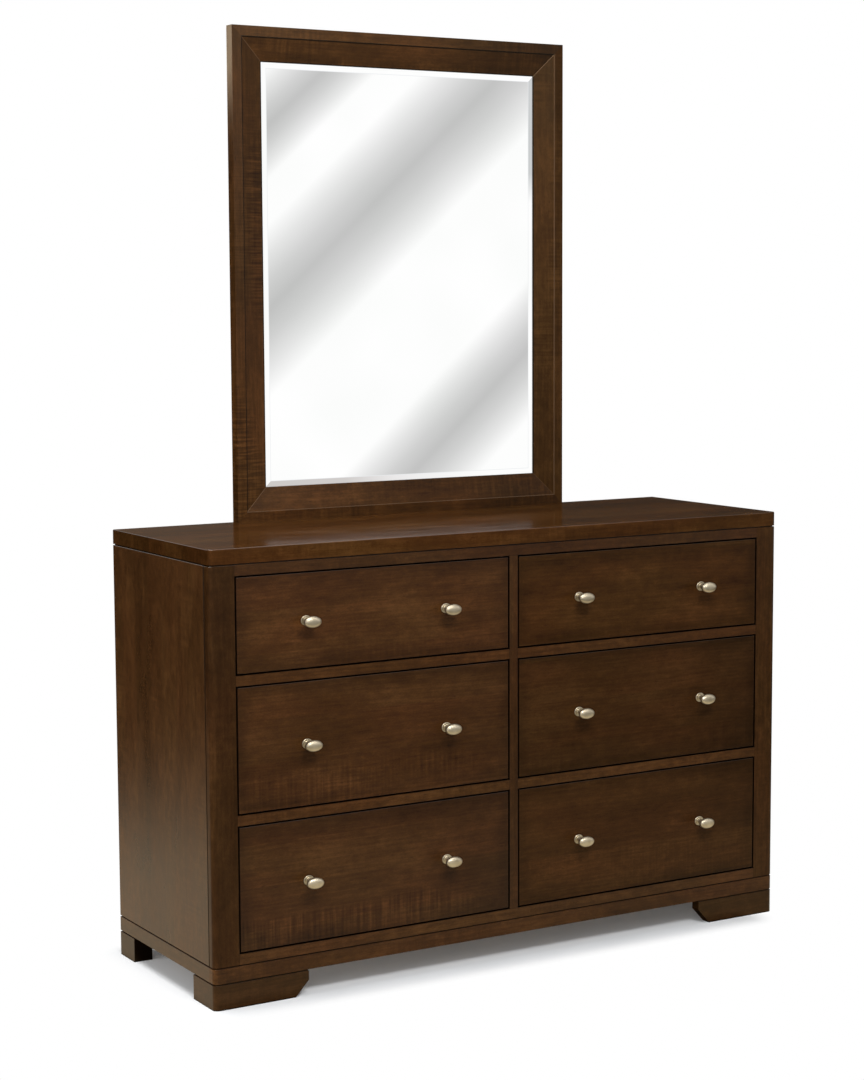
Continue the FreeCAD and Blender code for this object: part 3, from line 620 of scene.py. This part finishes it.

# on the left stile and the mirror frame, the darker top or right end is painted shade
boardLooks = {
    "top_panel": topLook,
    "side_panel_left": sideLook,
    "side_panel_right": dict(sideLook, seed=13.0),
    "stile_left": deeper(dict(stileLook, polish=0.4, sheen="#ffe8c8", shadedEnd=(2, 0.45, 0.9, 0.8),
                              paintedShadeSlabs=[edgeLeft, underTop, behindStile]), 0.8),
    "stile_right": deeper(dict(stileLook, seed=20.0, sheen="#ffe8c8",
                               paintedShadeSlabs=[edgeRight, underTop, behindStile]), 0.86),
    "stile_centre": deeper(dict(stileLook, seed=21.0, paintedShadeSlabs=centreEdges), 0.92),
    "rail_top": deeper(railLook, 0.9),
    "rails_middle": dict(railLook, seed=24.0),
    "rail_bottom": dict(railLook, seed=25.0),
    "base_moulding_front": baseLook,
    "base_moulding_left": sideBaseLook,
    "base_moulding_right": dict(sideBaseLook, seed=30.0),
    "foot_front_left": footLook,
    "foot_front_right": deeper(dict(footLook, seed=32.0, sheen="#ffdcae"), 0.95),
    "feet_rear": dict(footLook, seed=33.0, paintedShadeSlabs=[overFoot, underFoot, behindFoot]),
    "mirror_stile_left": deeper(dict(mirrorStileLook, curl=2.3, curlFrom=0.36, curlPitch=230.0,
                                     curlWide=18.0, mottle=0.7, speck=0.4, shadedEnd=(2, 1.15, 1.5, 0.63),
                                     paintedShadeSlabs=[stepLeft, lipLeft],
                                     paleLines=[mitreLowLeft, mitreHighLeft]), 1.02),
    "mirror_stile_right": deeper(dict(mirrorStileLook, seed=38.0, sheen="#ffd9a8",
                                      shadedEnd=(2, 1.75, 2.05, 0.62), paintedShadeSlabs=[lipRight],
                                      paleLines=[stepRight, mitreLowRight, mitreHighRight]), 0.84),
    "mirror_rail_top": deeper(dict(mirrorRailLook, ior=1.27, sheen="#ffe8c4", shadedEnd=(0, 0.0, 0.2, 0.6),
                                   paintedShadeSlabs=[stepTop, lipTop],
                                   paleLines=[mitreHighLeft, mitreHighRight]), 0.93),
    "mirror_rail_bottom": dict(mirrorRailLook, seed=42.0, shadedEnd=(0, 0.02, 0.3, 0.64),
                               paleLines=[stepLow, mitreLowLeft, mitreLowRight]),
    "mirror_supports": dict(mirrorStileLook, seed=44.0, curl=0.0),
    "base_rail_back": dict(baseLook, seed=45.0, paintedShadeSlabs=[]),
}
for nodeName, look in boardLooks.items():
    dress(nodes[nodeName], stainedMaple("walnut stained maple, " + nodeName.replace("_", " "), look))

frontLook = dict(walnutStain, turn=grainX, staveAxis=2, staveWidth=0.094, polish=0.5, edgeReach=0.045,
                 paintedShadeShare=0.8, mottle=0.75, wideFibre=0.3)
# for each row the depth of stain of its left and right front, the right one deeper partly as painted shade,
# the tone of the painted shade at the right end of each, and the weight of its curl with the height where the
# curl ends
frontShares = {"bottom": (0.97, 0.93), "middle": (1.0, 0.875), "top": (1.0, 0.965)}
frontShadedEnds = {"bottom": (0.78, 0.84), "middle": (0.88, 0.8), "top": (0.9, 0.97)}
frontCurls = {"bottom": (1.35, 0.01), "middle": (0.95, -0.02), "top": (0.55, -0.02)}
for rowNumber, row in enumerate(rows):
    for sideNumber, side in enumerate(sides):
        nodeName = "drawer_front_" + row + "_" + side
        low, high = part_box(nodeName)
        middle, half = (low + high) / 2, (high - low) / 2
        curl, curlTop = frontCurls[row]
        # the edges of each front are painted nearly black: painted shade in the gaps round it
        edges = [(axis, end * half[axis]) for axis in (0, 2) for end in (-1, 1)]
        look = dict(
            frontLook, seed=50.0 + 2 * rowNumber + sideNumber, staveStart=0.35 * (rowNumber + sideNumber),
            centre=tuple(middle), halfSize=(half.x, half.z), curl=curl, curlTop=curlTop,
            shadedEnd=(0, 0.1, 0.3, frontShadedEnds[row][sideNumber]),
            paintedShadeSlabs=[(axis, edge - skin, edge + skin) for axis, edge in edges])
        if side == "right":
            look = dict(look, curl=0.45, sheen="#ffe8c8")
        look = deeper(look, frontShares[row][sideNumber])
        dress(nodes[nodeName], stainedMaple("walnut stained maple, drawer front " + row + " " + side, look))
print("show wood finished")


# bare wood inside: sealed or clear lacquered maple, pale and honey coloured with faint growth lines

bareLook = {
    "tones": ("#b58f62", "#c9a679", "#dcbf95"),
    "oliveTones": ("#ad8c60", "#c3a276", "#d8bd94"),
    "turn": grainY, "staveAxis": 2, "staveWidth": 0.12, "seed": 61.0, "roughness": 0.42, "ior": 1.4,
    "blotch": 0.6, "staveTone": 0.3, "curl": 0.05, "ring": 0.09,
}
plyLook = {    # stained ply and hardboard at the back: flat brown with little figure
    "tones": ("#4a3420", "#5d432b", "#70553a"),
    "oliveTones": ("#463320", "#594229", "#6c5337"),
    "turn": grainZ, "staveAxis": 2, "staveWidth": 0.24, "seed": 90.0, "roughness": 0.5, "ior": 1.4,
    "ring": 0.12,
}
for nodeName in ("bottom_panel", "centre_partition", "top_stretchers", "slide_cleats"):
    dress(nodes[nodeName],
          stainedMaple("sealed maple, " + nodeName.replace("_", " "), dict(bareLook, turn=grainX)))
for number, place in enumerate(places):
    boxWood = dict(bareLook, seed=70.0 + number)
    bottomPly = dict(bareLook, turn=grainX, seed=80.0 + number, staveWidth=0.3)
    dress(nodes["drawer_box_" + place], stainedMaple("clear lacquered maple, box " + place, boxWood))
    dress(nodes["drawer_bottom_" + place], stainedMaple("maple ply, bottom " + place, bottomPly))
dress(nodes["back_panel"], stainedMaple("stained birch ply, back", plyLook))
dress(nodes["mirror_backing"],
      stainedMaple("brown hardboard, mirror back", dict(plyLook, ring=0.0, blotch=0.4, fibre=0.5)))
print("inner wood finished")


# metals

# tones of its patches, spots per metre of its fine surface each way, and roughness; the spots of 1.1 mm on
# the nickel and 0.4 by 17 mm on the zinc are coarser than real, which would be too fine to show
nickelLook = {"tones": ("#a89c86", "#bbb09a"), "grain": (900, 900, 900), "roughness": 0.4}
zincLook = {"tones": ("#9ea2a6", "#b4b7ba"), "grain": (2500, 60, 2500), "roughness": 0.34}
# the same on both: patches per metre (17 mm), and how far the fine surface swings roughness and relief
metalLook = {"patches": 60.0, "span": (0.3, 0.7), "smoother": 0.05, "rougher": 0.06, "bump": 0.08,
             "bumpHeight": 0.2 * mm}


def satinMetal(name, ownLook):
    # plated metal with a fine brushed or blasted surface: soft highlight, faint streaks
    look = dict(metalLook, **ownLook)
    material, tree = newMaterial(name)
    place = add(tree, "TexCoord").outputs["Object"]
    stretched = add(tree, "VectorMath", (place, look["grain"]), operation="MULTIPLY")
    fine = add(tree, "TexNoise", {"Vector": stretched, "Scale": 1.0, "Detail": 3.0})
    slow = add(tree, "TexNoise", {"Vector": place, "Scale": look["patches"], "Detail": 2.0})
    colour = add(tree, "ValToRGB", (slow,), stops=list(zip(look["span"], look["tones"])))
    smoothest, roughest = look["roughness"] - look["smoother"], look["roughness"] + look["rougher"]
    rough = add(tree, "MapRange", (fine, *look["span"], smoothest, roughest))
    bump = add(tree, "Bump", {"Height": fine, "Strength": look["bump"], "Distance": look["bumpHeight"]})
    shader = add(tree, "BsdfPrincipled", {"Base Color": colour, "Metallic": 1.0, "Roughness": rough,
                                          "Normal": bump})
    add(tree, "OutputMaterial", (shader,))
    return material


nickel = satinMetal("satin nickel plate", nickelLook)
zinc = satinMetal("zinc plated steel sheet", zincLook)
runners = ["drawer_runners_" + place for place in places]
for nodeName in runners + ["slide_channels", "mirror_support_screws"]:
    dress(nodes[nodeName], zinc)


# knobs

knobLook = {
    "spacing": 347 * mm, "reach": 39 * mm,
    "rosetteWidth": 25 * mm, "rosetteHeight": 21.6 * mm, "rosetteStep": 2.5 * mm,
    "collar": 1.5 * mm, "ring": 7 * mm, "neck": 4.2 * mm, "neckEnd": 5 * mm,
    "headWidth": 41 * mm, "headHeight": 24.5 * mm, "faceDepth": 8 * mm, "backDepth": 11 * mm,
    "faceFullness": 2.7, "backFullness": 2.1,    # power of the curve to the rim, 2 is an ellipse
    "around": 56,
}


def knobSurface(centreX, face, centreZ, look):
    # turned profile of (half width, half height, way out), carried round an ellipse at each level
    rosetteX, rosetteZ = look["rosetteWidth"] / 2, look["rosetteHeight"] / 2
    ring, neck, neckEnd = look["ring"], look["neck"], look["neckEnd"]
    step, top = look["rosetteStep"], look["rosetteStep"] + look["collar"]
    plate = [(1.0, 0.0), (1.0, 0.45), (0.985, 0.72), (0.94, 0.93), (0.89, 1.0), (0.83, 1.0),
             (0.79, 0.93), (0.75, 0.9)]
    collar = [(1.04, step * 0.9), (1.0, step), (0.99, top - 0.3 * mm), (0.93, top), (0.86, top)]
    profile = [(rosetteX * share, rosetteZ * share, step * rise) for share, rise in plate]
    profile += [(ring * share, ring * share, out) for share, out in collar]
    # neck: a smooth waist between the ring and the head's back
    backOut = look["reach"] - look["faceDepth"] - look["backDepth"]
    neckStart = profile[-1][0]
    t = np.linspace(0, 1, 10)[1:]
    waist = neck + (neckStart - neck) * (1 - t) ** 3 + (neckEnd - neck) * t ** 3
    profile += [(w, w, top + (backOut - top) * s) for w, s in zip(waist, t)]
    # head: a superellipse from the neck to the rim and a flatter one from the rim to the face's pole
    headX, headZ = look["headWidth"] / 2, look["headHeight"] / 2
    wide = look["reach"] - look["faceDepth"]
    start = math.asin((neckEnd / headZ) ** (look["backFullness"] / 2))
    back, front = np.linspace(start, math.pi / 2, 12), np.linspace(math.pi / 2, 0, 18)[1:-1]
    for turn, depth, power in ((back, -look["backDepth"], look["backFullness"]),
                               (front, look["faceDepth"], look["faceFullness"])):
        share = np.sin(turn) ** (2 / power)
        out = wide + depth * np.cos(turn) ** (2 / power)
        profile += [(headX * s, headZ * s, o) for s, o in zip(share, out)]
    profile = np.array(profile)
    u = np.linspace(0, 2 * math.pi, look["around"], endpoint=False)
    points = np.stack([centreX + profile[:, :1] * np.cos(u), face - profile[:, 2:] * np.ones_like(u),
                       centreZ + profile[:, 1:2] * np.sin(u)], axis=-1)
    return gridSurface(points)


screwLook = {
    # radius and height of each kind of head
    "knob": (4.5 * mm, 2.5 * mm), "slide": (3.6 * mm, 1.6 * mm), "panel": (4.2 * mm, 1.7 * mm),
    # the cross: shares of the radius and, for its depth, of the height, and how soft its sides and ends are
    "arm": 0.56, "armWidth": 0.13, "depth": 0.55, "sideSoft": 0.05, "endSoft": 0.06,
    # places along a slide, the thickness of its sheet and the room that it fills
    "slidePlaces": (0.08, 0.5, 0.92), "slideSheet": 1.5 * mm, "slideRoom": 12.7 * mm,
    "panelPitch": 160 * mm, "panelInset": 14 * mm,    # along the back panel's rim, and in from its edge
    "around": 40,
}


def screwHead(place, out, size, look):
    # pan head with a cross: the height over the radius is a low dome, less the depth inside the two arms;
    # rows run from under the head up the rim to the middle, columns round it, and out is the way it faces
    radius, height = size
    profile = np.array([(1.0, 0.0), (1.0, 0.42), (0.97, 0.62), (0.9, 0.78), (0.78, 0.9), (0.62, 0.96),
                        (0.56, 0.97), (0.5, 0.98), (0.42, 0.99), (0.34, 0.99), (0.26, 1.0), (0.19, 1.0),
                        (0.13, 1.0), (0.07, 1.0), (0.03, 1.0)])
    u = np.linspace(0, 2 * math.pi, look["around"], endpoint=False)
    across, upward = profile[:, :1] * np.cos(u), profile[:, :1] * np.sin(u)
    narrow = np.minimum(abs(across), abs(upward))
    wide = np.maximum(abs(across), abs(upward))
    inArm = (np.clip((look["armWidth"] - narrow) / look["sideSoft"] + 0.5, 0, 1)
             * np.clip((look["arm"] - wide) / look["endSoft"] + 0.5, 0, 1))
    rise = profile[:, 1:] - look["depth"] * inArm
    upright, ahead = Vector((0, 0, 1)), Vector(out)
    aside = upright.cross(ahead)
    points = (np.array(place) + radius * across[..., None] * np.array(aside)
              + radius * upward[..., None] * np.array(upright) + height * rise[..., None] * np.array(ahead))
    return gridSurface(points)


for row in rows:
    for side in sides:
        low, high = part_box("drawer_front_" + row + "_" + side)
        middle = (low + high) / 2
        knobPlaces = [middle.x + end * knobLook["spacing"] / 2 for end in (-1, 1)]
        surfaces = [knobSurface(x, low.y, middle.z, knobLook) for x in knobPlaces]
        surfaces += [screwHead((x, high.y, middle.z), (0, 1, 0), screwLook["knob"], screwLook)
                     for x in knobPlaces]
        knobs = makePiece("knob_pair_" + row + "_" + side, surfaces, nickel)
        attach(knobs, "drawer_" + row + "_" + side)
        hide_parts("knobs_" + row + "_" + side)
print("knobs turned")


# the slides' and the back panel's screws

def screwSet(name, body, surfaces):
    screws = makePiece(name, surfaces, zinc)
    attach(screws, body)


channelHeads = []
channelFace = screwLook["slideRoom"] - screwLook["slideSheet"]
for place in places:
    low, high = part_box("drawer_runners_" + place)
    boxLow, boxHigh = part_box("drawer_box_" + place)
    heads = []
    for share in screwLook["slidePlaces"]:
        y, z = low.y + (high.y - low.y) * share, (low.z + high.z) / 2
        for x, out in ((boxLow.x, -1), (boxHigh.x, 1)):
            onRunner, onChannel = (x + out * screwLook["slideSheet"], y, z), (x + out * channelFace, y, z)
            heads.append(screwHead(onRunner, (out, 0, 0), screwLook["slide"], screwLook))
            channelHeads.append(screwHead(onChannel, (-out, 0, 0), screwLook["slide"], screwLook))
    screwSet("runner_screws_" + place, "drawer_" + place, heads)
screwSet("channel_screws", "case", channelHeads)

low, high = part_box("back_panel")
inset, pitch = screwLook["panelInset"], screwLook["panelPitch"]
columns = np.linspace(low.x + inset, high.x - inset, 1 + round((high.x - low.x) / pitch))
levels = np.linspace(low.z + inset, high.z - inset, 1 + round((high.z - low.z) / pitch))
rim = [(x, z) for x in columns for z in (levels[0], levels[-1])]
rim += [(x, z) for x in (columns[0], columns[-1]) for z in levels[1:-1]]
panelHeads = [screwHead((x, high.y, z), (0, 1, 0), screwLook["panel"], screwLook) for x, z in rim]
screwSet("back_panel_screws", "case", panelHeads)
print("screws driven")


# mirror plate

mirrorLook = {"bevel": 20.5 * mm, "bevelDepth": 0.7 * mm, "arris": 0.6 * mm, "tones": ("#fbfcfb", "#ffffff")}


def silveredGlass(name, look):
    # float glass silvered on its back: a clean mirror with no blur, its tone a trace uneven
    material, tree = newMaterial(name)
    place = add(tree, "TexCoord").outputs["Object"]
    wave = add(tree, "TexNoise", {"Vector": place, "Scale": 5.0, "Detail": 1.0})
    tint = add(tree, "ValToRGB", (wave,), stops=list(zip((0.3, 0.7), look["tones"])))
    shader = add(tree, "BsdfPrincipled", {"Base Color": tint, "Metallic": 1.0, "Roughness": 0.0})
    add(tree, "OutputMaterial", (shader,))
    return material


def mirrorPlate(look):
    # nested rectangles from the back edge round to the bevel and the flat face, as (inset, depth)
    low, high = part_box("mirror_glass")
    bevel, arris, depth = look["bevel"], look["arris"], look["bevelDepth"]
    steps = [(0, high.y), (0, low.y + depth), (bevel - arris, low.y + arris * (depth / bevel)),
             (bevel + arris, low.y)]
    rings = []
    for inset, y in steps:
        x0, x1, z0, z1 = low.x + inset, high.x - inset, low.z + inset, high.z - inset
        rings.append([(x0, y, z0), (x1, y, z0), (x1, y, z1), (x0, y, z1)])
    verts, faces = gridSurface(np.array(rings), poles=False)
    faces += [[3, 2, 1, 0], [12, 13, 14, 15]]    # the back and the flat face
    silver = silveredGlass("silvered float glass", look)
    plate = makePiece("bevelled_mirror_plate", [(verts, faces)], silver, smooth=False)
    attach(plate, "case")
    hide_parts("mirror_glass")


mirrorPlate(mirrorLook)
print("mirror set")
